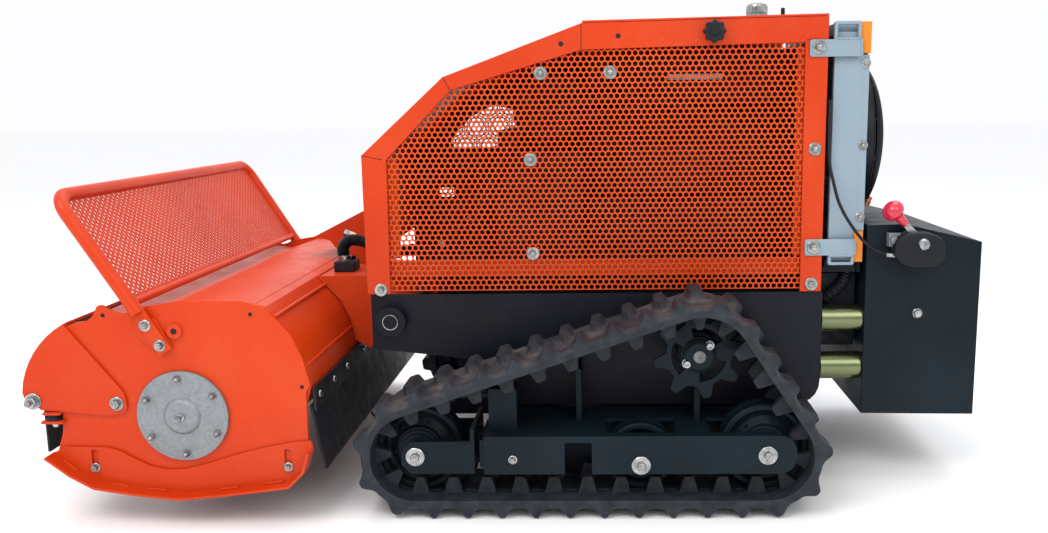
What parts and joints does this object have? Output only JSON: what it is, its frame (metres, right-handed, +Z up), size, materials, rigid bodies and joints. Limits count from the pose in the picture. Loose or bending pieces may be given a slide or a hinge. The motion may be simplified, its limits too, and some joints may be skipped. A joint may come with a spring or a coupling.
{
  "type": "stump grinder",
  "caption": "Tracked remote-control carrier with a front grinding head: belts on sprockets, hinged lift, rotor, skids, door, guard and a perforated engine hood.",
  "frame": {"origin": "centre of the plan box, on the ground under the track lugs", "axes": "+X to the rear, +Y to the right side of the machine, +Z up"},
  "size_m": [2.034, 1.14, 1.0824],
  "materials": {
    "orange": "gloss powder coat",
    "amber": "satin paint",
    "dark": "satin powder coat",
    "grey": "satin paint",
    "zinc": "galvanised",
    "plated": "yellow zinc plate",
    "steel": "worn steel",
    "rubber": "matt, dusty",
    "cast": "painted casting",
    "black": "satin black",
    "plastic": "moulded",
    "ball": "gloss moulded",
    "hose": "smooth black"
  },
  "bodies": {
    "carrier": {"chassis_frame": "dark", "lift_pivot_pin": "plated", "hood_front_panel": "orange", "hood_rear_top": "orange", "radiator": "grey", "radiator_mount": "amber", "fan_guard": "black", "rear_box": "dark", "throttle_housing": "plastic", "throttle_cable": "hose", "engine_block": "cast", "hydraulic_pump": "steel", "track_frame_left": "dark", "rubber_track_left": "rubber", "tensioner_yoke_left": "dark", "travel_motor_left": "black", "side_frame_left": "orange", "side_mesh_left": "orange", "tie_tube_lower_left": "plated", "tie_tube_upper_left": "plated", "track_frame_right": "dark", "rubber_track_right": "rubber", "tensioner_yoke_right": "dark", "travel_motor_right": "black", "side_frame_right": "orange", "side_mesh_right": "orange", "tie_tube_lower_right": "plated", "tie_tube_upper_right": "plated"},
    "head": {"head_shell": "orange", "side_plate_left": "orange", "side_plate_right": "orange", "lift_arms": "orange", "bearing_cover_left": "zinc", "rotor_motor": "black", "guard_frame": "orange", "guard_mesh": "orange", "rear_flap": "rubber", "flap_strip": "orange", "hydraulic_hose": "hose"},
    "rotor": {"rotor": "steel"},
    "door": {"front_door": "orange", "front_curtain": "rubber"},
    "lid": {"bonnet_lid": "orange"},
    "cap": {"filler_cap": "zinc"},
    "fan": {"cooling_fan": "plastic"},
    "lever": {"throttle_lever": "ball"},
    "barrel": {"lift_cylinder_barrel": "black"},
    "rod": {"lift_cylinder_rod": "steel"},
    "skid_left": {"skid_left": "orange"},
    "drive_sprocket_left": {"drive_sprocket_left": "dark"},
    "front_idler_left": {"front_idler_left": "dark"},
    "mid_roller_left": {"mid_roller_left": "dark"},
    "rear_idler_left": {"rear_idler_left": "dark"},
    "knob_left": {"clamp_knob_left": "plastic"},
    "skid_right": {"skid_right": "orange"},
    "drive_sprocket_right": {"drive_sprocket_right": "dark"},
    "front_idler_right": {"front_idler_right": "dark"},
    "mid_roller_right": {"mid_roller_right": "dark"},
    "rear_idler_right": {"rear_idler_right": "dark"},
    "knob_right": {"clamp_knob_right": "plastic"}
  },
  "joints": [
    {"name": "head_lift", "type": "hinge", "parent": "carrier", "child": "head", "pos_m": [-0.295, 0, 0.38], "axis": [0, 1, 0], "range_deg": [-3, 18], "deforming": ["hydraulic_hose"]},
    {"name": "rotor_spin", "type": "hinge", "parent": "head", "child": "rotor", "pos_m": [-0.6864, 0, 0.2325], "axis": [0, 1, 0], "continuous": true},
    {"name": "door_swing", "type": "hinge", "parent": "head", "child": "door", "pos_m": [-0.8245, 0, 0.2568], "axis": [0, 1, 0], "range_deg": [0, 35]},
    {"name": "barrel_swing", "type": "hinge", "parent": "carrier", "child": "barrel", "pos_m": [0.06, 0, 0.29], "axis": [0, 1, 0], "range_deg": [-1, 3]},
    {"name": "rod_slide", "type": "slide", "parent": "barrel", "child": "rod", "axis": [-0.9997, 0, 0.0253], "range_m": [-0.01, 0.03]},
    {"name": "skid_drop_left", "type": "slide", "parent": "head", "child": "skid_left", "axis": [0, 0, -1], "range_m": [0, 0.03]},
    {"name": "drive_sprocket_turn_left", "type": "hinge", "parent": "carrier", "child": "drive_sprocket_left", "pos_m": [0.386, -0.42, 0.328], "axis": [0, 1, 0], "continuous": true},
    {"name": "front_idler_turn_left", "type": "hinge", "parent": "carrier", "child": "front_idler_left", "pos_m": [-0.214, -0.42, 0.1315], "axis": [0, 1, 0], "continuous": true},
    {"name": "mid_roller_turn_left", "type": "hinge", "parent": "carrier", "child": "mid_roller_left", "pos_m": [0.261, -0.42, 0.1115], "axis": [0, 1, 0], "continuous": true},
    {"name": "rear_idler_turn_left", "type": "hinge", "parent": "carrier", "child": "rear_idler_left", "pos_m": [0.525, -0.42, 0.1315], "axis": [0, 1, 0], "continuous": true},
    {"name": "knob_turn_left", "type": "hinge", "parent": "carrier", "child": "knob_left", "pos_m": [0.423, -0.32, 1.006], "axis": [0, 1, 0], "range_deg": [0, 90]},
    {"name": "skid_drop_right", "type": "slide", "parent": "head", "child": "skid_right", "axis": [0, 0, -1], "range_m": [0, 0.03]},
    {"name": "drive_sprocket_turn_right", "type": "hinge", "parent": "carrier", "child": "drive_sprocket_right", "pos_m": [0.386, 0.42, 0.328], "axis": [0, 1, 0], "continuous": true},
    {"name": "front_idler_turn_right", "type": "hinge", "parent": "carrier", "child": "front_idler_right", "pos_m": [-0.214, 0.42, 0.1315], "axis": [0, 1, 0], "continuous": true},
    {"name": "mid_roller_turn_right", "type": "hinge", "parent": "carrier", "child": "mid_roller_right", "pos_m": [0.261, 0.42, 0.1115], "axis": [0, 1, 0], "continuous": true},
    {"name": "rear_idler_turn_right", "type": "hinge", "parent": "carrier", "child": "rear_idler_right", "pos_m": [0.525, 0.42, 0.1315], "axis": [0, 1, 0], "continuous": true},
    {"name": "knob_turn_right", "type": "hinge", "parent": "carrier", "child": "knob_right", "pos_m": [0.423, 0.32, 1.006], "axis": [0, 1, 0], "range_deg": [0, 90]},
    {"name": "fan_spin", "type": "hinge", "parent": "carrier", "child": "fan", "pos_m": [0.796, 0, 0.77], "axis": [1, 0, 0], "continuous": true},
    {"name": "lid_open", "type": "hinge", "parent": "carrier", "child": "lid", "pos_m": [0.142, 0, 1.0288], "axis": [0, -1, 0], "range_deg": [0, 60]},
    {"name": "cap_turn", "type": "hinge", "parent": "carrier", "child": "cap", "pos_m": [0.543, -0.1, 1.0534], "axis": [0, 0, 1], "range_deg": [0, 90]},
    {"name": "throttle_turn", "type": "hinge", "parent": "carrier", "child": "lever", "pos_m": [0.88, -0.329, 0.549], "axis": [0, 1, 0], "range_deg": [0, 70]}
  ],
  "couplings": [
    {"joint": "front_idler_turn_left", "follows": "drive_sprocket_turn_left", "ratio": 0.9911},
    {"joint": "mid_roller_turn_left", "follows": "drive_sprocket_turn_left", "ratio": 1.2645},
    {"joint": "rear_idler_turn_left", "follows": "drive_sprocket_turn_left", "ratio": 0.9911},
    {"joint": "front_idler_turn_right", "follows": "drive_sprocket_turn_right", "ratio": 0.9911},
    {"joint": "mid_roller_turn_right", "follows": "drive_sprocket_turn_right", "ratio": 1.2645},
    {"joint": "rear_idler_turn_right", "follows": "drive_sprocket_turn_right", "ratio": 0.9911},
    {"joint": "barrel_swing", "follows": "head_lift", "ratio": 0.119},
    {"joint": "rod_slide", "follows": "head_lift", "m_per_rad": 0.0755}
  ]
}
